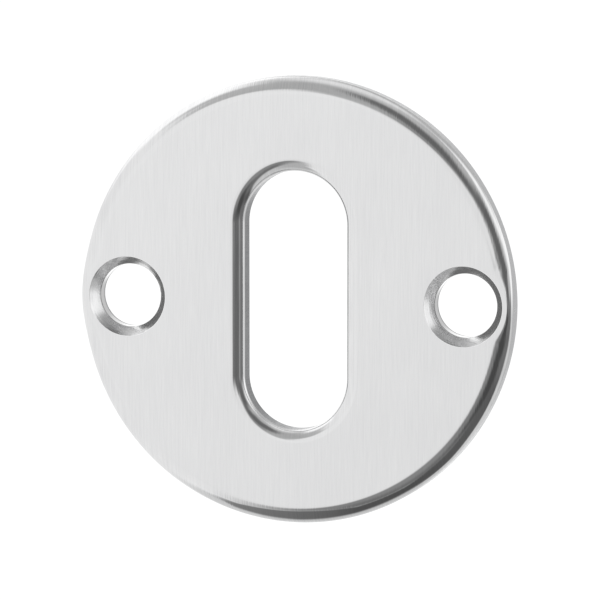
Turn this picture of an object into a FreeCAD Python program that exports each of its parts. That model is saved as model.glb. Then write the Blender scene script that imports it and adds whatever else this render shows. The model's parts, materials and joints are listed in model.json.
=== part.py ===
"""Round keyhole escutcheon: one pressed plate with a key slot and two countersunk screw holes.

All sizes are in millimetres. The plate stands upright, as it is screwed to a door or drawer.
X runs along the line of the two screw holes and Z runs up along the key slot.
The back lies on y = 0 and the brushed front looks towards -Y.
The origin is on the back, midway between the screw holes.
"""

import FreeCAD, Part
import math
import os

Vector = FreeCAD.Vector
UP = Vector(0, 0, 1)
INWARDS = Vector(0, 1, 0)

# The disc that is blanked from sheet
PLATE_DIAMETER = 38.0
PLATE_THICKNESS = 2.2
BACK_EDGE_BREAK = 0.15

# The pressed round of its front edge, wider than it is deep
EDGE_ROUND_WIDTH = 1.5
EDGE_ROUND_DEPTH = 1.0

# The upright slot that the key passes through, and the round of its front edge
SLOT_WIDTH = 9.0
SLOT_HEIGHT = 22.0
SLOT_ROUND_WIDTH = 1.1
SLOT_ROUND_DEPTH = 0.75

# The two screw holes: a plain bore below a cone for the screw's head
BORE_DIAMETER = 5.4
COUNTERSINK_DIAMETER = 6.8
COUNTERSINK_ANGLE = 70.0

# The metal left between each cone and the plate's edge
COUNTERSINK_TO_EDGE = 0.8

# The flat ring that the pressed cone raises round itself, out of the rounded edge
LAND_WIDTH = 0.35
LAND_FLANK_ANGLE = 65.0
LAND_DEPTH_SHARE = 0.8

# Both rounds leave the face on a gentle arc, which turns this far before the tight one begins
ROUND_GENTLE_TURN = 40.0

# How far a cutting tool runs past the metal
OVERRUN = 1.0

# Sizes that follow from those above
PLATE_RADIUS = PLATE_DIAMETER / 2
COUNTERSINK_RADIUS = COUNTERSINK_DIAMETER / 2
SCREW_X = PLATE_RADIUS - COUNTERSINK_TO_EDGE - COUNTERSINK_RADIUS
FRONT = -PLATE_THICKNESS


def pressed_round(face_end, wall_end):
    """Two arcs from the face to a wall: a gentle one that leaves the face, then a tight one."""
    width = abs(wall_end.x - face_end.x)
    depth = wall_end.y - face_end.y
    outwards = math.copysign(1, wall_end.x - face_end.x)
    sine = math.sin(math.radians(ROUND_GENTLE_TURN))
    cosine = math.cos(math.radians(ROUND_GENTLE_TURN))
    gentle_radius = (width * cosine - depth * (1 - sine)) / (sine + cosine - 1)
    tight_radius = (depth * sine - width * (1 - cosine)) / (sine + cosine - 1)
    gentle_centre = face_end + Vector(0, gentle_radius, 0)
    tight_centre = wall_end - Vector(outwards * tight_radius, 0, 0)

    def on_arc(centre, radius, turn):
        angle = math.radians(turn)
        return centre + Vector(outwards * math.sin(angle), -math.cos(angle), 0) * radius

    join = on_arc(gentle_centre, gentle_radius, ROUND_GENTLE_TURN)
    gentle_middle = on_arc(gentle_centre, gentle_radius, ROUND_GENTLE_TURN / 2)
    tight_middle = on_arc(tight_centre, tight_radius, (ROUND_GENTLE_TURN + 90) / 2)
    gentle_arc = Part.Arc(face_end, gentle_middle, join)
    tight_arc = Part.Arc(join, tight_middle, wall_end)
    return [gentle_arc.toShape(), tight_arc.toShape()]


def straight_run(points):
    """Straight edges from each point to the next."""
    return [Part.makeLine(start, end) for start, end in zip(points, points[1:])]


def pressed_disc():
    """Disc with its front edge pressed round and its back edge broken, turned from its section."""
    face_end = Vector(PLATE_RADIUS - EDGE_ROUND_WIDTH, FRONT, 0)
    wall_end = Vector(PLATE_RADIUS, FRONT + EDGE_ROUND_DEPTH, 0)
    back_and_middle = [
        wall_end,
        Vector(PLATE_RADIUS, -BACK_EDGE_BREAK, 0),
        Vector(PLATE_RADIUS - BACK_EDGE_BREAK, 0, 0),
        Vector(0, 0, 0),
        Vector(0, FRONT, 0),
        face_end,
    ]
    outline = Part.Wire(pressed_round(face_end, wall_end) + straight_run(back_and_middle))
    return Part.Face(outline).revolve(Vector(0, 0, 0), INWARDS, 360)


def coined_land(x):
    """Flat ring round a screw hole, level with the face, with a steep flank down to the round."""
    top_radius = COUNTERSINK_RADIUS + LAND_WIDTH
    depth = EDGE_ROUND_DEPTH * LAND_DEPTH_SHARE
    foot_radius = top_radius + depth / math.tan(math.radians(LAND_FLANK_ANGLE))
    flank = Part.makeCone(top_radius, foot_radius, depth, Vector(x, FRONT, 0), INWARDS)
    blank = Part.makeCylinder(PLATE_RADIUS, PLATE_THICKNESS, Vector(0, FRONT, 0), INWARDS)
    return flank.common(blank)


def slot_tool():
    """What is cut out for the key: one section, run along both sides and turned round both ends."""
    half_width = SLOT_WIDTH / 2
    straight = SLOT_HEIGHT - SLOT_WIDTH
    face_end = Vector(half_width + SLOT_ROUND_WIDTH, FRONT, 0)
    wall_end = Vector(half_width, FRONT + SLOT_ROUND_DEPTH, 0)
    back_and_middle = [
        wall_end,
        Vector(half_width, -BACK_EDGE_BREAK, 0),
        Vector(half_width + BACK_EDGE_BREAK, 0, 0),
        Vector(half_width + BACK_EDGE_BREAK, OVERRUN, 0),
        Vector(0, OVERRUN, 0),
        Vector(0, FRONT - OVERRUN, 0),
        face_end - Vector(0, OVERRUN, 0),
        face_end,
    ]
    outline = Part.Wire(pressed_round(face_end, wall_end) + straight_run(back_and_middle))
    right_half = Part.Face(outline)
    right_half.translate(-UP * straight / 2)
    right_side = right_half.extrude(UP * straight)
    left_side = right_side.mirror(Vector(0, 0, 0), Vector(1, 0, 0))
    bottom_end = right_half.revolve(-UP * straight / 2, INWARDS, 180)
    top_end = bottom_end.mirror(Vector(0, 0, 0), UP)
    return right_side.fuse([left_side, bottom_end, top_end]).removeSplitter()


def countersunk_hole(x):
    """What is cut out for one screw: a bore with a cone for the head, turned from its section."""
    bore_radius = BORE_DIAMETER / 2
    slope = math.tan(math.radians(COUNTERSINK_ANGLE / 2))
    cone_depth = (COUNTERSINK_RADIUS - bore_radius) / slope
    outline = [
        Vector(x, FRONT - OVERRUN, 0),
        Vector(x, OVERRUN, 0),
        Vector(x + bore_radius, OVERRUN, 0),
        Vector(x + bore_radius, FRONT + cone_depth, 0),
        Vector(x + COUNTERSINK_RADIUS + OVERRUN * slope, FRONT - OVERRUN, 0),
        Vector(x, FRONT - OVERRUN, 0),
    ]
    return Part.Face(Part.makePolygon(outline)).revolve(Vector(x, 0, 0), INWARDS, 360)


def escutcheon_plate():
    """The whole plate: disc, lands, then the slot and the two screw holes."""
    screw_places = (-SCREW_X, SCREW_X)
    plate = pressed_disc().fuse([coined_land(x) for x in screw_places]).removeSplitter()
    tools = [slot_tool()] + [countersunk_hole(x) for x in screw_places]
    return plate.cut(tools)


os.makedirs("parts", exist_ok=True)
plate = escutcheon_plate()
plate.exportStep("parts/escutcheon_plate.step")
print("escutcheon_plate, valid:", plate.isValid(), "volume in cubic mm:", round(plate.Volume, 1))
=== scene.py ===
"""Round keyhole escutcheon in brushed and polished stainless steel. Everything is in metres."""

import json
import math

import bpy
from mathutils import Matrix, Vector


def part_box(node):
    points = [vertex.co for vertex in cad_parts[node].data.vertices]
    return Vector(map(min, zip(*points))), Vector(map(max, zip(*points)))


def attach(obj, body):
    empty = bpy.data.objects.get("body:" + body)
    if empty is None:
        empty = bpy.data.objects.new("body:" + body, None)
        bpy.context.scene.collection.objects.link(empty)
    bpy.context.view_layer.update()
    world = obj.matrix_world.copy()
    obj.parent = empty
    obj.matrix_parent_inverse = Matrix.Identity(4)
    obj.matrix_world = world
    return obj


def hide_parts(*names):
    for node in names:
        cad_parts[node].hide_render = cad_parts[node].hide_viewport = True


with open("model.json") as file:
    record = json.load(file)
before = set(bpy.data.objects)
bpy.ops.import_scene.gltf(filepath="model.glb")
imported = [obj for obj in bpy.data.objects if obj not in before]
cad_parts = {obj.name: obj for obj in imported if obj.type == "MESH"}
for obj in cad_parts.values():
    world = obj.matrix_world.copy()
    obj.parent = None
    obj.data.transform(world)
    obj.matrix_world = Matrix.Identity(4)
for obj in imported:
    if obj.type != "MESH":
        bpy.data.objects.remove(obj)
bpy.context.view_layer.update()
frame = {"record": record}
scene = bpy.context.scene
MM = 0.001


# Escutcheon plate: a round blank of stainless sheet, pressed so that its front edge and the edge of the
# key slot roll over. A screw hole is sunk at each side, and the metal pressed out of it lies as a flat
# ring round the hole, where it stands out of the rolled edge. The face is brushed upright.

low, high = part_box("escutcheon_plate")
screw_pattern = next(m for m in frame["record"]["mounts"] if m["name"] == "screw_holes")["dims"]
PLATE_RADIUS = round((high.x - low.x) / 2, 5)
THICKNESS = round(high.y - low.y, 5)
SCREW_X = screw_pattern["spacing_x_mm"] * MM / 2
BORE_RADIUS = screw_pattern["hole_r_mm"] * MM
COUNTERSINK_RADIUS = 3.4 * MM
COUNTERSINK_HALF_ANGLE = math.radians(35)
CONE_DEPTH = (COUNTERSINK_RADIUS - BORE_RADIUS) / math.tan(COUNTERSINK_HALF_ANGLE)

# The sizes of each named input of the plate's tree
plate_sizes = {
    "Plate radius": PLATE_RADIUS,
    "Thickness": THICKNESS,
    "Back edge break": 0.15 * MM,
    "Edge round width": 1.5 * MM,
    "Edge round depth": 1.0 * MM,
    "Slot half width": 4.5 * MM,
    "Slot half height": 11.0 * MM,
    "Slot round width": 1.1 * MM,
    "Slot round depth": 0.75 * MM,
    "Round gentle turn": math.radians(40),
    "Screw hole offset": SCREW_X,
    "Bore radius": BORE_RADIUS,
    "Bore back break": 0.06 * MM,
    "Countersink radius": COUNTERSINK_RADIUS,
    "Countersink half angle": COUNTERSINK_HALF_ANGLE,
    "Countersink rim round": 0.02 * MM,
    "Groove width": 0.03 * MM,
    "Land width": 0.35 * MM,
    "Land blend": 0.5 * MM,
    "Land round depth": 0.5 * MM,
    "Land shallow reach": 5.2 * MM,
}

# Points round the plate, the slot and each hole, and rows along each arc of a section
AROUND_PLATE = 768
AROUND_SLOT = 480
AROUND_HOLE = 192
ROWS_GENTLE = 14
ROWS_TIGHT = 20
ROWS_RIM = 5

# A band this wide beside each round keeps the shading of the flat or of the cone out of the round
GUARD = 0.02 * MM

# The groove cuts in under the cone by this many of its widths
GROOVE_UNDERCUT = 1.6

# Points this close to a height lie on it, points this close to each other become one, and an edge that
# bends by more than this stays sharp
SAME_HEIGHT = 0.02 * MM
SAME_POINT = 1e-7
SHARP_BEND = math.radians(28)
QUARTER = math.radians(90)


class Tree:
    """Adds nodes to a node tree and joins them, with numbers or sockets as inputs."""

    def __init__(self, tree):
        self.tree = tree

    def add(self, kind, inputs=(), **settings):
        node = self.tree.nodes.new(kind)
        for name, value in settings.items():
            setattr(node, name, value)
        for name, value in dict(inputs).items():
            self.feed(node.inputs[name], value)
        return node

    def feed(self, socket, value):
        if isinstance(value, bpy.types.NodeSocket):
            self.tree.links.new(value, socket)
        elif isinstance(value, list):
            for part in value:
                self.tree.links.new(part, socket)
        else:
            socket.default_value = value

    def math(self, operation, first, second=0.0, third=0.0):
        inputs = {0: first, 1: second, 2: third}
        return self.add("ShaderNodeMath", inputs, operation=operation).outputs[0]

    def plus(self, first, second):
        return self.math("ADD", first, second)

    def minus(self, first, second):
        return self.math("SUBTRACT", first, second)

    def times(self, first, second):
        return self.math("MULTIPLY", first, second)

    def over(self, first, second):
        return self.math("DIVIDE", first, second)

    def length(self, first, second):
        return self.math("SQRT", self.plus(self.times(first, first), self.times(second, second)))

    def point(self, x=0.0, y=0.0, z=0.0):
        return self.add("ShaderNodeCombineXYZ", {"X": x, "Y": y, "Z": z}).outputs[0]

    def parts(self, vector):
        return self.add("ShaderNodeSeparateXYZ", {0: vector}).outputs

    def join(self, geometry):
        joined = self.add("GeometryNodeJoinGeometry", {"Geometry": geometry}).outputs[0]
        settings = {"Geometry": joined, "Distance": SAME_POINT}
        return self.add("GeometryNodeMergeByDistance", settings).outputs[0]


def arc(tree, centre, radius, start, sweep, rows):
    """Part of a circle in a section: x runs outwards along the face, and y runs down into the metal."""
    settings = {"Resolution": rows + 1, "Radius": radius, "Start Angle": start, "Sweep Angle": sweep}
    curve = tree.add("GeometryNodeCurveArc", settings, mode="RADIUS").outputs["Curve"]
    return tree.add("GeometryNodeTransform", {"Geometry": curve, "Translation": centre}).outputs[0]


def straight_run(tree, points):
    lines = []
    for start, end in zip(points, points[1:]):
        line = tree.add("GeometryNodeCurvePrimitiveLine", {"Start": start, "End": end})
        lines.append(line.outputs["Curve"])
    return lines


def pressed_round(tree, size, width, depth):
    """Two arcs from the flat face, which is at y = 0, to the wall, which stands at x = 0."""
    turn = size["Round gentle turn"]
    sine = tree.math("SINE", turn)
    cosine = tree.math("COSINE", turn)
    share = tree.minus(tree.plus(sine, cosine), 1.0)
    less_depth = tree.times(depth, tree.minus(1.0, sine))
    less_width = tree.times(width, tree.minus(1.0, cosine))
    gentle = tree.over(tree.minus(tree.times(width, cosine), less_depth), share)
    tight = tree.over(tree.minus(tree.times(depth, sine), less_width), share)
    face_x = tree.times(width, -1.0)
    gentle_centre = tree.point(face_x, gentle)
    tight_centre = tree.point(tree.times(tight, -1.0), depth)
    join = tree.minus(turn, QUARTER)
    return [
        *straight_run(tree, [tree.point(tree.minus(face_x, GUARD)), tree.point(face_x)]),
        arc(tree, gentle_centre, gentle, -QUARTER, turn, ROWS_GENTLE),
        arc(tree, tight_centre, tight, join, tree.times(join, -1.0), ROWS_TIGHT),
    ]


def sheared_wall(tree, size, top):
    """The wall below a pressed round, and the break of its edge at the back."""
    edge = size["Back edge break"]
    foot = tree.point(0.0, tree.minus(size["Thickness"], edge))
    back = tree.point(tree.times(edge, -1.0), size["Thickness"])
    return straight_run(tree, [tree.point(0.0, top), foot, back])


def screw_hole_wall(tree, size):
    """The eased rim of the countersink, its cone, the groove at the cone's foot, and the bore."""
    ease = size["Countersink rim round"]
    lean = size["Countersink half angle"]
    reach = tree.minus(size["Countersink radius"], size["Bore radius"])
    depth = tree.over(reach, tree.math("TANGENT", lean))
    turn = tree.minus(QUARTER, lean)
    past_cone = tree.times(ease, tree.math("TANGENT", tree.over(turn, 2.0)))
    face_x = tree.minus(tree.times(reach, -1.0), past_cone)
    rim_x = tree.plus(face_x, tree.times(ease, tree.math("SINE", turn)))
    rim_y = tree.times(ease, tree.minus(1.0, tree.math("COSINE", turn)))
    rim = [
        *straight_run(tree, [tree.point(tree.minus(face_x, GUARD)), tree.point(face_x)]),
        arc(tree, tree.point(face_x, ease), ease, -QUARTER, turn, ROWS_RIM),
    ]
    guard_x = tree.plus(rim_x, tree.times(GUARD, tree.math("SINE", lean)))
    guard_y = tree.plus(rim_y, tree.times(GUARD, tree.math("COSINE", lean)))
    groove = size["Groove width"]
    cut_y = tree.times(depth, tree.minus(1.0, tree.over(groove, reach)))
    back = size["Bore back break"]
    below = [
        tree.point(rim_x, rim_y),
        tree.point(guard_x, guard_y),
        tree.point(tree.times(groove, -1.0), cut_y),
        tree.point(tree.times(groove, -GROOVE_UNDERCUT), depth),
        tree.point(0.0, tree.plus(depth, groove)),
        tree.point(0.0, tree.minus(size["Thickness"], back)),
        tree.point(tree.times(back, -1.0), size["Thickness"]),
    ]
    return rim + straight_run(tree, below)


def circle_path(tree, radius, points):
    settings = {"Resolution": points, "Radius": radius}
    return tree.add("GeometryNodeCurvePrimitiveCircle", settings, mode="RADIUS").outputs["Curve"]


def slot_path(tree, half_width, half_height):
    """A circle drawn apart along the slot into two straight sides and two round ends."""
    circle = circle_path(tree, half_width, AROUND_SLOT)
    half_step = {"Geometry": circle, "Rotation": (0, 0, math.pi / AROUND_SLOT)}
    circle = tree.add("GeometryNodeTransform", half_step).outputs[0]
    along = tree.parts(tree.add("GeometryNodeInputPosition").outputs[0])["Y"]
    shift = tree.times(tree.math("SIGN", along), tree.minus(half_height, half_width))
    settings = {"Geometry": circle, "Offset": tree.point(0.0, shift)}
    return tree.add("GeometryNodeSetPosition", settings).outputs[0]


def run_round(tree, path, section, finish, inwards=False):
    """Metal with one finish, from a section that is run round a closed path with the face at z = 0."""
    section = tree.add("GeometryNodeJoinGeometry", {"Geometry": section}).outputs[0]
    if inwards:
        settings = {"Geometry": section, "Scale": (-1, 1, 1)}
        section = tree.add("GeometryNodeTransform", settings).outputs[0]
    metal = tree.add("GeometryNodeCurveToMesh", {"Curve": path, "Profile Curve": section}).outputs[0]
    if inwards:
        metal = tree.add("GeometryNodeFlipFaces", {"Mesh": metal}).outputs[0]
    return mark_finish(tree, metal, finish)


def mark_finish(tree, metal, finish):
    settings = {"Geometry": metal, "Name": "finish", "Value": FINISHES.index(finish)}
    node = tree.add("GeometryNodeStoreNamedAttribute", settings, data_type="INT", domain="FACE")
    return node.outputs[0]


def give_room_to_lands(tree, size, metal):
    """Draws the edge's round together where the flat ring round each screw hole reaches into it."""
    radius = size["Plate radius"]
    width = size["Edge round width"]
    depth = size["Edge round depth"]
    offset = size["Screw hole offset"]
    x, y, z = tree.parts(tree.add("GeometryNodeInputPosition").outputs[0])
    reach = tree.length(x, y)
    across = tree.math("ABSOLUTE", tree.over(x, reach))
    aside = tree.over(tree.times(offset, y), reach)
    land = tree.plus(size["Countersink radius"], size["Land width"])
    chord = tree.math("MAXIMUM", tree.minus(tree.times(land, land), tree.times(aside, aside)), 0.0)
    land_reach = tree.plus(tree.times(offset, across), tree.math("SQRT", chord))
    flat_reach = tree.math("SMOOTH_MAX", tree.minus(radius, width), land_reach, size["Land blend"])
    room = tree.minus(radius, flat_reach)
    new_reach = tree.minus(radius, tree.times(tree.minus(radius, reach), tree.over(room, width)))

    beside = {
        "Value": tree.math("ABSOLUTE", y),
        "From Min": 0.0,
        "From Max": size["Land shallow reach"],
        "To Min": size["Land round depth"],
        "To Max": depth,
    }
    new_depth = tree.add("ShaderNodeMapRange", beside, interpolation_type="SMOOTHSTEP").outputs[0]
    stretch = tree.over(new_reach, reach)
    place = tree.point(
        tree.times(x, stretch), tree.times(y, stretch), tree.times(z, tree.over(new_depth, depth))
    )
    in_round = tree.math("GREATER_THAN", z, tree.minus(tree.times(depth, -1.0), SAME_HEIGHT))
    settings = {"Geometry": metal, "Selection": in_round, "Position": place}
    return tree.add("GeometryNodeSetPosition", settings).outputs[0]


def close_flat(tree, walls, height, finish, faces_back=False):
    """Flat metal between the open edges that the walls leave at one height."""
    used_once = tree.math("COMPARE", tree.add("GeometryNodeInputMeshEdgeNeighbors").outputs[0], 1.0)
    at_height = tree.parts(tree.add("GeometryNodeInputPosition").outputs[0])["Z"]
    here = tree.math("COMPARE", at_height, height, SAME_HEIGHT)
    edges = {"Mesh": walls, "Selection": tree.times(used_once, here)}
    outline = tree.add("GeometryNodeMeshToCurve", edges).outputs[0]
    flat = tree.add("GeometryNodeFillCurve", {"Curve": outline}).outputs[0]
    if faces_back:
        flat = tree.add("GeometryNodeFlipFaces", {"Mesh": flat}).outputs[0]
    settings = {"Geometry": flat, "Translation": tree.point(0.0, 0.0, height)}
    return mark_finish(tree, tree.add("GeometryNodeTransform", settings).outputs[0], finish)


def pressed_plate():
    """The plate's tree: four runs of wall, and the flats that close them at the front and at the back."""
    group = bpy.data.node_groups.new("pressed_escutcheon", "GeometryNodeTree")
    for name in plate_sizes:
        group.interface.new_socket(name, in_out="INPUT", socket_type="NodeSocketFloat")
    group.interface.new_socket("Plate", in_out="OUTPUT", socket_type="NodeSocketGeometry")
    tree = Tree(group)
    given = tree.add("NodeGroupInput")
    size = {name: given.outputs[name] for name in plate_sizes}

    edge_path = circle_path(tree, size["Plate radius"], AROUND_PLATE)
    edge_depth = size["Edge round depth"]
    edge_section = pressed_round(tree, size, size["Edge round width"], edge_depth)
    edge_round = run_round(tree, edge_path, edge_section, "brushed")
    edge_wall = run_round(tree, edge_path, sheared_wall(tree, size, edge_depth), "satin")
    edge = give_room_to_lands(tree, size, tree.join([edge_round, edge_wall]))

    key_path = slot_path(tree, size["Slot half width"], size["Slot half height"])
    key_depth = size["Slot round depth"]
    key_section = pressed_round(tree, size, size["Slot round width"], key_depth)
    key_round = run_round(tree, key_path, key_section, "rolled", inwards=True)
    key_wall = run_round(tree, key_path, sheared_wall(tree, size, key_depth), "slot", inwards=True)
    walls = [edge, key_round, key_wall]

    hole_section = screw_hole_wall(tree, size)
    for side in (-1.0, 1.0):
        path = circle_path(tree, size["Bore radius"], AROUND_HOLE)
        hole = run_round(tree, path, hole_section, "turned", inwards=True)
        place = tree.point(tree.times(size["Screw hole offset"], side))
        settings = {"Geometry": hole, "Translation": place}
        walls.append(tree.add("GeometryNodeTransform", settings).outputs[0])

    walls = tree.join(walls)
    face = close_flat(tree, walls, 0.0, "brushed")
    back = close_flat(tree, walls, tree.times(size["Thickness"], -1.0), "dull", faces_back=True)
    plate = tree.join([walls, face, back])
    upright = {"Geometry": plate, "Rotation": (QUARTER, 0, 0)}
    plate = tree.add("GeometryNodeTransform", upright).outputs[0]
    forward = tree.point(0.0, tree.times(size["Thickness"], -1.0))
    plate = tree.add("GeometryNodeTransform", {"Geometry": plate, "Translation": forward}).outputs[0]

    bend = tree.add("GeometryNodeInputMeshEdgeAngle").outputs["Unsigned Angle"]
    sharp = tree.math("GREATER_THAN", bend, SHARP_BEND)
    plate = tree.add("GeometryNodeSetShadeSmooth", {"Geometry": plate}, domain="FACE").outputs[0]
    crease = {"Geometry": plate, "Selection": sharp, "Shade Smooth": False}
    plate = tree.add("GeometryNodeSetShadeSmooth", crease, domain="EDGE").outputs[0]
    plate = tree.add("GeometryNodeRealizeInstances", {"Geometry": plate}).outputs[0]
    finish = tree.add("GeometryNodeInputNamedAttribute", {"Name": "finish"}, data_type="INT").outputs[0]
    for number, name in enumerate(FINISHES):
        chosen = tree.math("COMPARE", finish, number, 0.5)
        settings = {"Geometry": plate, "Selection": chosen, "Material": finish_materials[name]}
        plate = tree.add("GeometryNodeSetMaterial", settings).outputs[0]
    tree.add("NodeGroupOutput", {"Plate": plate})
    return group


# How squarely the metal looks forwards or backwards: on the face, and where the belt bites fully
FACING_ON_FACE = 0.999
FACING_ON_EDGE = 0.93

# The values of a tone that count as fully dark and fully light
TONE_LOW = 0.3
TONE_HIGH = 0.7

# Soil with painted shade in the groove and at the bore's back: how far it reaches along the bore, how thick
# it lies, how much roughness it adds, and over what share of its reach it lies in full
GROOVE_SOIL_AND_SHADE_REACH = 0.05 * MM
GROOVE_SOIL_AND_SHADE = 0.12
BACK_SOIL_AND_SHADE_REACH = 0.4 * MM
BACK_SOIL_AND_SHADE = 0.7
SOIL_AND_SHADE_ROUGHNESS = 0.3
SOIL_AND_SHADE_FULL_SHARE = 0.4


def shader_group(name, inputs, outputs):
    """A new shader node group, with its inputs as sockets by name."""
    group = bpy.data.node_groups.new(name, "ShaderNodeTree")
    for title, default in inputs.items():
        socket = group.interface.new_socket(title, in_out="INPUT", socket_type="NodeSocketFloat")
        socket.default_value = default
    for title in outputs:
        group.interface.new_socket(title, in_out="OUTPUT", socket_type="NodeSocketFloat")
    tree = Tree(group)
    given = tree.add("NodeGroupInput").outputs
    return group, tree, {title: given[title] for title in inputs}


def streaks(tree, place, widths):
    """Noise drawn out along the axes where its marks are wide: about 0 to 1, with its middle at 0.5."""
    x, y, z = tree.parts(place)
    scaled = tree.point(tree.over(x, widths[0]), tree.over(y, widths[1]), tree.over(z, widths[2]))
    settings = {"Vector": scaled, "Scale": 1.0, "Detail": 2.0, "Roughness": 0.55}
    return tree.add("ShaderNodeTexNoise", settings, noise_dimensions="3D").outputs["Fac"]


def soil_and_shade_near(tree, value, place, reach):
    """Soil with painted shade that lies in full at a place and has gone a reach away, with a soft step
    between.
    """
    away = tree.math("ABSOLUTE", tree.minus(value, place))
    full = reach * SOIL_AND_SHADE_FULL_SHARE
    settings = {"Value": away, "From Min": reach, "From Max": full, "To Min": 0.0, "To Max": 1.0}
    return tree.add("ShaderNodeMapRange", settings, interpolation_type="SMOOTHSTEP").outputs[0]


def brushed_grain():
    """Fine upright lines from the belt, which bites deeper where the edges roll over."""
    bites = {"Face bite": 0.4, "Edge bite": 1.0}
    group, tree, given = shader_group("upright_brushing", bites, ["Height", "Tone"])
    coordinates = tree.add("ShaderNodeTexCoord").outputs
    place = coordinates["Object"]
    fine = streaks(tree, place, (0.13 * MM, 40 * MM, 3 * MM))
    broad = streaks(tree, place, (0.4 * MM, 40 * MM, 12 * MM))
    patch = streaks(tree, place, (5 * MM, 40 * MM, 9 * MM))
    height = tree.plus(tree.times(fine, 0.6), tree.times(broad, 0.4))
    facing = tree.math("ABSOLUTE", tree.parts(coordinates["Normal"])["Y"])
    settings = {
        "Value": facing,
        "From Min": FACING_ON_FACE,
        "From Max": FACING_ON_EDGE,
        "To Min": given["Face bite"],
        "To Max": given["Edge bite"],
    }
    bite = tree.add("ShaderNodeMapRange", settings, interpolation_type="SMOOTHSTEP").outputs[0]
    height = tree.times(tree.minus(height, 0.5), bite)
    tone = tree.plus(tree.times(fine, 0.5), tree.plus(tree.times(broad, 0.2), tree.times(patch, 0.3)))
    tone = tree.plus(tree.times(tree.minus(tone, 0.5), bite), 0.5)
    tree.add("NodeGroupOutput", {"Height": height, "Tone": tone})
    return group


def shear_marks():
    """Marks that the press tool draws along a wall, from the front to the back."""
    group, tree, given = shader_group("shear_marks", {"Mark width": 0.12 * MM}, ["Height", "Tone"])
    place = tree.add("ShaderNodeTexCoord").outputs["Object"]
    width = given["Mark width"]
    marks = streaks(tree, place, (width, tree.times(width, 12.0), width))
    cloud = streaks(tree, place, (1.6 * MM, 0.8 * MM, 1.6 * MM))
    tone = tree.plus(tree.times(marks, 0.6), tree.times(cloud, 0.4))
    tree.add("NodeGroupOutput", {"Height": marks, "Tone": tone})
    return group


def turned_rings():
    """Rings from the countersink tool, and soil with painted shade in the groove at the cone's foot and at
    the bore's back.
    """
    group, tree, given = shader_group("turned_rings", {"Ring pitch": 0.14 * MM}, ["Height", "Tone", "Soil and shade"])
    place = tree.add("ShaderNodeTexCoord").outputs["Object"]
    x, y, z = tree.parts(place)
    from_axis = tree.length(tree.minus(tree.math("ABSOLUTE", x), SCREW_X), z)
    pitch = given["Ring pitch"]
    ring = tree.point(tree.over(from_axis, pitch), tree.over(y, pitch), tree.over(z, 12 * MM))
    settings = {"Vector": ring, "Scale": 0.8, "Detail": 2.0, "Roughness": 0.6}
    rings = tree.add("ShaderNodeTexNoise", settings, noise_dimensions="3D").outputs["Fac"]
    cloud = streaks(tree, place, (1.2 * MM, 1.2 * MM, 1.2 * MM))
    # Painted shade, with soil, darkening the groove at the cone's foot and the bore's back
    groove = soil_and_shade_near(tree, y, CONE_DEPTH - THICKNESS, GROOVE_SOIL_AND_SHADE_REACH)
    back_edge = soil_and_shade_near(tree, y, 0.0, BACK_SOIL_AND_SHADE_REACH)
    soil_and_shade = tree.math("MAXIMUM", tree.times(groove, GROOVE_SOIL_AND_SHADE), tree.times(back_edge, BACK_SOIL_AND_SHADE))
    tone = tree.plus(tree.times(rings, 0.6), tree.times(cloud, 0.4))
    tree.add("NodeGroupOutput", {"Height": rings, "Tone": tone, "Soil and shade": soil_and_shade})
    return group


def steel(name, group, light, dark, smooth, rough, relief, soil_and_shade=None, face_bite=None):
    """Stainless steel that runs from dark and rough to light and smooth, by the tone of its marks."""
    material = bpy.data.materials.new(name)
    material.use_nodes = True
    tree = Tree(material.node_tree)
    shader = material.node_tree.nodes["Principled BSDF"]
    shader.inputs["Metallic"].default_value = 1.0
    detail = tree.add("ShaderNodeGroup", node_tree=group)
    if face_bite:
        detail.inputs["Face bite"].default_value = face_bite
    settings = {
        "Value": detail.outputs["Tone"],
        "From Min": TONE_LOW,
        "From Max": TONE_HIGH,
        "To Min": 0.0,
        "To Max": 1.0,
    }
    tone = tree.add("ShaderNodeMapRange", settings).outputs[0]
    settings = {"Factor": tone, "A": (*dark, 1), "B": (*light, 1)}
    colour = tree.add("ShaderNodeMix", settings, data_type="RGBA").outputs["Result"]
    roughness = tree.plus(rough, tree.times(tone, smooth - rough))
    # Soil with painted shade: darker and rougher where the marks' group gives it
    if soil_and_shade:
        settings = {"Factor": detail.outputs["Soil and shade"], "A": colour, "B": (*soil_and_shade, 1)}
        colour = tree.add("ShaderNodeMix", settings, data_type="RGBA").outputs["Result"]
        roughness = tree.plus(roughness, tree.times(detail.outputs["Soil and shade"], SOIL_AND_SHADE_ROUGHNESS))
    settings = {"Strength": 1.0, "Distance": relief, "Height": detail.outputs["Height"]}
    bump = tree.add("ShaderNodeBump", settings).outputs[0]
    tree.feed(shader.inputs["Base Color"], colour)
    tree.feed(shader.inputs["Roughness"], roughness)
    tree.feed(shader.inputs["Normal"], bump)
    return material


grain = brushed_grain()
shearing = shear_marks()
turning = turned_rings()
BRIGHT_STEEL = (0.88, 0.88, 0.88)
BRUSHED_STEEL = (0.72, 0.722, 0.73)
PALE_STEEL = (0.785, 0.786, 0.792)
GREY_STEEL = (0.70, 0.705, 0.715)
DULL_STEEL = (0.55, 0.555, 0.565)
# The slot's wall is the same sheared steel as the plate's edge wall, painted darker: painted shade inside the
# slot
SHADED_SLOT_GREY = (0.42, 0.425, 0.435)
SHADED_SLOT_DARK = (0.30, 0.304, 0.312)
FRESH_STEEL = (0.995, 0.995, 0.995)
WORN_STEEL = (0.955, 0.956, 0.96)
# Soil with painted shade in each screw hole's groove and at the bore's back
SOILED_AND_SHADED_STEEL = (0.16, 0.16, 0.17)

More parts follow.
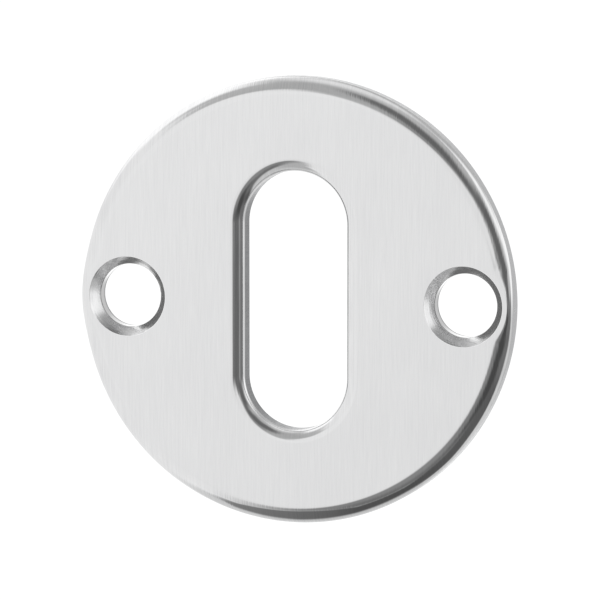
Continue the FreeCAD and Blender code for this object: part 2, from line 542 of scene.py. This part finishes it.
# Each finish: its marks, light and dark colour, smoothest and roughest roughness, and depth of its relief
finish_materials = {
    "brushed": steel("brushed_steel", grain, BRIGHT_STEEL, BRUSHED_STEEL, 0.04, 0.06, 0.011 * MM),
    "rolled": steel("rolled_slot_edge", grain, BRIGHT_STEEL, BRUSHED_STEEL, 0.06, 0.09, 0.004 * MM),
    "satin": steel("sheared_edge", shearing, PALE_STEEL, GREY_STEEL, 0.26, 0.36, 0.006 * MM),
    # Painted shade: the slot's wall is darker than the plate's edge wall
    "slot": steel("sheared_slot_shaded", shearing, SHADED_SLOT_GREY, SHADED_SLOT_DARK, 0.22, 0.32, 0.006 * MM),
    "turned": steel("turned_steel", turning, FRESH_STEEL, WORN_STEEL, 0.11, 0.16, 0.003 * MM, SOILED_AND_SHADED_STEEL),
    "dull": steel("mill_back", grain, GREY_STEEL, DULL_STEEL, 0.34, 0.46, 0.003 * MM, face_bite=1.0),
}
FINISHES = list(finish_materials)

blank = bpy.data.objects.new("plate_blank", bpy.data.meshes.new("plate_blank"))
scene.collection.objects.link(blank)
press = blank.modifiers.new("pressed_escutcheon", "NODES")
press.node_group = pressed_plate()
for socket in press.node_group.interface.items_tree:
    if socket.in_out == "INPUT":
        press[socket.identifier] = plate_sizes[socket.name]
pressed = blank.evaluated_get(bpy.context.evaluated_depsgraph_get())
plate_mesh = bpy.data.meshes.new_from_object(pressed)
plate_mesh.name = "escutcheon"
bpy.data.objects.remove(blank)
if not plate_mesh.materials[0]:
    plate_mesh.materials.pop(index=0)
plate = bpy.data.objects.new("escutcheon", plate_mesh)
scene.collection.objects.link(plate)
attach(plate, "root")
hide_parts("escutcheon_plate")


# Studio: a white room as the camera sees it. The steel sees what a product studio has round the object:
# a large soft box on the left with a white wing towards the camera, a lit panel on the far right, and
# dark cloth low on the right. Each panel is soft-edged and far away.

# Name: azimuth, elevation, half width, half height, turn, softness (degrees), and brightness
STUDIO_PANELS = [
    ("ceiling", 0, 90, 180, 25, 0, 11, 0.87),
    ("floor glow", 0, -90, 180, 42, 0, 6, 0.66),
    ("low fill", -130, -52, 55, 18, 0, 9, 0.74),
    ("back light", 180, -46, 34, 15, 0, 9, 0.80),
    ("grey wall in front", -14, 38, 14, 20, 0, 7, 0.47),
    ("dark beam", 10, 42, 10, 10, 0, 6, 0.17),
    ("dark wall in front", 18, 28, 15, 15, 0, 8, 0.155),
    ("pale corner", 5, 15, 8, 7, 0, 5, 0.30),
    ("dark door", 43, 11, 14, 16, 20, 7, 0.145),
    ("grey curtain", 70, -14, 17, 15, 0, 6, 0.20),
    ("grey cloth", 16, -32, 52, 17, 0, 6, 0.18),
    ("pale cloth", -4, -24, 14, 8, -30, 6, 0.28),
    ("dark floor line", 24, -5, 22, 10, 0, 5, 0.17),
    ("pale post", 114, -24, 19, 30, 0, 7, 0.72),
    ("black card", 31, -21, 14, 11, 0, 6, 0.075),
    ("black corner", 62, -38, 16, 8, 0, 6, 0.11),
    ("pale floor", -34, -46, 15, 20, 0, 6, 0.52),
    ("side panel", 90, 31, 20, 19, -30, 10, 1.08),
    ("side panel foot", 120, 9, 24, 14, 0, 9, 1.15),
    ("soft box", -102, -9, 60, 38, 0, 6, 0.96),
    ("soft box top", -110, 42, 36, 22, 0, 8, 1.22),
    ("soft box end", -153, -4, 30, 22, 0, 8, 1.15),
    ("white wing", -64, -10, 24, 36, 0, 4, 0.94),
    ("wing slope", -34, -19, 12, 20, -38, 4, 0.93),
    ("wing top", -31, 8, 14, 14, 0, 4, 0.94),
    ("wing edge", -14, -3, 13, 14, 0, 4, 0.89),
    ("wing tip", 4, 5, 15, 8, 0, 4, 0.89),
    ("wing glow", -26, 4, 14, 14, 45, 5, 0.96),
]
PANEL_CORNER = math.radians(12)

# What the steel sees between the panels, and what lights a matt surface
WALL_LIGHT = 0.54
ROOM_LIGHT = 0.9


def studio_panels():
    """Brightness that the steel sees in each direction: the panels above, one over the other."""
    group = bpy.data.node_groups.new("studio_panels", "ShaderNodeTree")
    group.interface.new_socket("Direction", in_out="INPUT", socket_type="NodeSocketVector")
    group.interface.new_socket("Brightness", in_out="OUTPUT", socket_type="NodeSocketFloat")
    tree = Tree(group)
    direction = tree.add("NodeGroupInput").outputs["Direction"]
    level = WALL_LIGHT
    for name, azimuth, elevation, half_width, half_height, turn, softness, brightness in STUDIO_PANELS:
        if abs(elevation) == 90:
            up = tree.times(tree.parts(direction)["Z"], math.copysign(1, elevation))
            away = tree.minus(QUARTER, tree.math("ARCSINE", up))
            distance = tree.minus(away, math.radians(half_height))
        else:
            to_front = {"Vector": direction, "Rotation": (0, 0, math.radians(-azimuth))}
            turned = tree.add("ShaderNodeVectorRotate", to_front, rotation_type="EULER_XYZ").outputs[0]
            to_level = {"Vector": turned, "Rotation": (math.radians(elevation), math.radians(turn), 0)}
            tipped = tree.add("ShaderNodeVectorRotate", to_level, rotation_type="EULER_XYZ").outputs[0]
            x, y, z = tree.parts(tipped)
            across = tree.math("ABSOLUTE", tree.math("ARCTAN2", x, tree.times(y, -1.0)))
            above = tree.math("ABSOLUTE", tree.math("ARCSINE", z))
            past_side = tree.minus(across, math.radians(half_width))
            past_top = tree.minus(above, math.radians(half_height))
            distance = tree.math("SMOOTH_MAX", past_side, past_top, PANEL_CORNER)
        fade = math.radians(softness)
        settings = {"Value": distance, "From Min": fade, "From Max": -fade, "To Min": 0.0, "To Max": 1.0}
        mask = tree.add("ShaderNodeMapRange", settings, interpolation_type="SMOOTHSTEP", label=name)
        level = tree.add("ShaderNodeMix", {"Factor": mask.outputs[0], "A": level, "B": brightness}).outputs[0]
    tree.add("NodeGroupOutput", {"Brightness": level})
    return group


def studio_world():
    world = bpy.data.worlds.new("studio")
    world.use_nodes = True
    world.node_tree.nodes.clear()
    tree = Tree(world.node_tree)
    direction = tree.add("ShaderNodeTexCoord").outputs["Generated"]
    panels = tree.add("ShaderNodeGroup", node_tree=studio_panels())
    tree.feed(panels.inputs["Direction"], direction)
    ray = tree.add("ShaderNodeLightPath").outputs
    in_steel = {"Factor": ray["Is Glossy Ray"], "A": ROOM_LIGHT, "B": panels.outputs[0]}
    seen = tree.add("ShaderNodeMix", in_steel).outputs[0]
    seen = tree.add("ShaderNodeMix", {"Factor": ray["Is Camera Ray"], "A": seen, "B": 1.0}).outputs[0]
    light = tree.add("ShaderNodeBackground", {"Color": (1, 1, 1, 1), "Strength": seen})
    tree.add("ShaderNodeOutputWorld", {"Surface": light.outputs[0]})
    return world


scene.view_settings.view_transform = "Standard"
scene.world = studio_world()


# Table: a pale matt top, far enough below the plate that its shadow lies outside the picture. The steel
# sees the studio's own glow there instead of the table.

TABLE_DROP = 60 * MM
TABLE_HALF = 3.0
TABLE_GREY = 0.85
TABLE_GLOW = 0.3


def new_material(name):
    """An empty material and its tree."""
    material = bpy.data.materials.new(name)
    material.use_nodes = True
    material.node_tree.nodes.clear()
    return material, Tree(material.node_tree)


def glow(tree, strength):
    return tree.add("ShaderNodeEmission", {"Color": (1, 1, 1, 1), "Strength": strength}).outputs[0]


pale_table, tree = new_material("pale_table")
matt = tree.add("ShaderNodeBsdfDiffuse", {"Color": (TABLE_GREY, TABLE_GREY, TABLE_GREY, 1)})
from_camera = tree.add("ShaderNodeLightPath").outputs["Is Camera Ray"]
table_glow = glow(tree, tree.times(from_camera, TABLE_GLOW))
both = tree.add("ShaderNodeAddShader", {0: matt.outputs[0], 1: table_glow})
tree.add("ShaderNodeOutputMaterial", {"Surface": both.outputs[0]})

table_mesh = bpy.data.meshes.new("table")
corners = [(x * TABLE_HALF, y * TABLE_HALF, -TABLE_DROP) for x, y in ((-1, -1), (1, -1), (1, 1), (-1, 1))]
table_mesh.from_pydata(corners, [], [(0, 1, 2, 3)])
table_mesh.materials.append(pale_table)
table = bpy.data.objects.new("table", table_mesh)
scene.collection.objects.link(table)
table.visible_glossy = False


# Dark papers that only the steel's reflections see, painted shade and a painted dark reflection: one in the
# back of each screw hole stands in for the shade behind the plate and darkens the far side of its
# countersink, and a soft-edged strip, curved round the plate's lower edge, darkens the rolled edge's
# reflection.

# The corners of the paper in each screw hole, from the hole's middle (mm)
HOLE_PAPER = [
    (1.3, 0.1), (1.0, 0.9), (0.2, 1.0), (-0.9, 0.6), (-1.6, 0.75), (-2.25, 0.75),
    (-2.0, -0.2), (-1.7, -1.0), (-1.2, -1.9), (-0.5, -2.1), (0.4, -1.2), (1.2, -0.7),
]
# Each hole's paper sits just inside the bore's back and glows dimly: painted shade in the countersink's
# reflection
HOLE_PAPER_Y = -0.02 * MM
HOLE_SHADE_LIGHT = 0.13

# The strip: turn round the plate (degrees), front and back edge (mm along y), and brightness
LOW_STRIP = [
    (244, -3.6, -2.8, 0.24),
    (252, -4.2, -1.9, 0.24),
    (260, -5.6, -1.8, 0.2),
    (270, -6.6, -1.7, 0.165),
    (278, -5.8, -1.8, 0.14),
    (285, -4.7, -1.8, 0.1),
    (300, -4.4, -1.9, 0.09),
    (315, -4.4, -1.4, 0.11),
    (330, -4.6, -1.8, 0.12),
    (345, -4.0, -2.4, 0.12),
]
STRIP_RADIUS = 20.5 * MM

# The strip grows from clear to dark over this width along each edge (mm)
STRIP_FADE = 0.7


def hang_paper(name, corners, faces, material):
    """A paper that only the steel's reflections see."""
    mesh = bpy.data.meshes.new(name)
    mesh.from_pydata(corners, [], faces)
    mesh.materials.append(material)
    paper = bpy.data.objects.new(name, mesh)
    scene.collection.objects.link(paper)
    paper.visible_camera = False
    paper.visible_diffuse = False
    paper.visible_shadow = False
    return mesh


hole_shade_paper, tree = new_material("painted_shade_paper")
tree.add("ShaderNodeOutputMaterial", {"Surface": glow(tree, HOLE_SHADE_LIGHT)})
for side, middle in (("left", -SCREW_X), ("right", SCREW_X)):
    corners = [(middle + x * MM, HOLE_PAPER_Y, z * MM) for x, z in HOLE_PAPER]
    hang_paper("paper_" + side, corners, [range(len(corners))], hole_shade_paper)

# The strip's dim glow is a painted dark reflection along the rolled edge
strip_paper, tree = new_material("soft_paper")
cover = tree.add("ShaderNodeAttribute", attribute_name="cover").outputs["Fac"]
cover = tree.add("ShaderNodeMapRange", {"Value": cover}, interpolation_type="SMOOTHSTEP").outputs[0]
light = tree.add("ShaderNodeAttribute", attribute_name="light").outputs["Fac"]
clear = tree.add("ShaderNodeBsdfTransparent").outputs[0]
soft_edged = tree.add("ShaderNodeMixShader", {0: cover, 1: clear, 2: glow(tree, light)})
tree.add("ShaderNodeOutputMaterial", {"Surface": soft_edged.outputs[0]})

corners = []
covers = []
lights = []
for turn, front, back, brightness in LOW_STRIP:
    x = math.cos(math.radians(turn)) * STRIP_RADIUS
    z = math.sin(math.radians(turn)) * STRIP_RADIUS
    fade = min(STRIP_FADE, (back - front) / 2)
    middle_cover = 0 if turn in (LOW_STRIP[0][0], LOW_STRIP[-1][0]) else 1
    for y in (front, front + fade, back - fade, back):
        corners.append((x, y * MM, z))
    covers += [0, middle_cover, middle_cover, 0]
    lights += [brightness] * 4
faces = [
    (4 * row + column, 4 * row + column + 1, 4 * row + column + 5, 4 * row + column + 4)
    for row in range(len(LOW_STRIP) - 1)
    for column in range(3)
]
strip_mesh = hang_paper("paper_strip", corners, faces, strip_paper)
for name, values in (("cover", covers), ("light", lights)):
    strip_mesh.attributes.new(name, "FLOAT", "POINT").data.foreach_set("value", values)


# Camera: far off with a long lens, a little to the right of the plate and above it, so that the plate's
# right wall, the slot's left wall and the left side of each bore come into view.

CAMERA_AZIMUTH = math.radians(16.6)
CAMERA_ELEVATION = math.radians(6.2)
CAMERA_DISTANCE = 22 * PLATE_RADIUS
HALF_VIEW = math.radians(3.4686)
SENSOR_WIDTH = 36
AIM_RIGHT = 0.57 * MM
AIM_UP = 0.125 * MM

camera_data = bpy.data.cameras.new("camera")
camera = bpy.data.objects.new("camera", camera_data)
scene.collection.objects.link(camera)
scene.camera = camera
camera_data.sensor_width = SENSOR_WIDTH
camera_data.lens = SENSOR_WIDTH / 2 / math.tan(HALF_VIEW)
camera_data.clip_start = 0.01
away = Vector((
    math.sin(CAMERA_AZIMUTH) * math.cos(CAMERA_ELEVATION),
    -math.cos(CAMERA_AZIMUTH) * math.cos(CAMERA_ELEVATION),
    math.sin(CAMERA_ELEVATION),
))
right = Vector((math.cos(CAMERA_AZIMUTH), math.sin(CAMERA_AZIMUTH), 0))
aim = Vector((0, -THICKNESS, 0)) + right * AIM_RIGHT + away.cross(right) * AIM_UP
camera.location = aim + away * CAMERA_DISTANCE
camera.rotation_euler = away.to_track_quat("Z", "Y").to_euler()
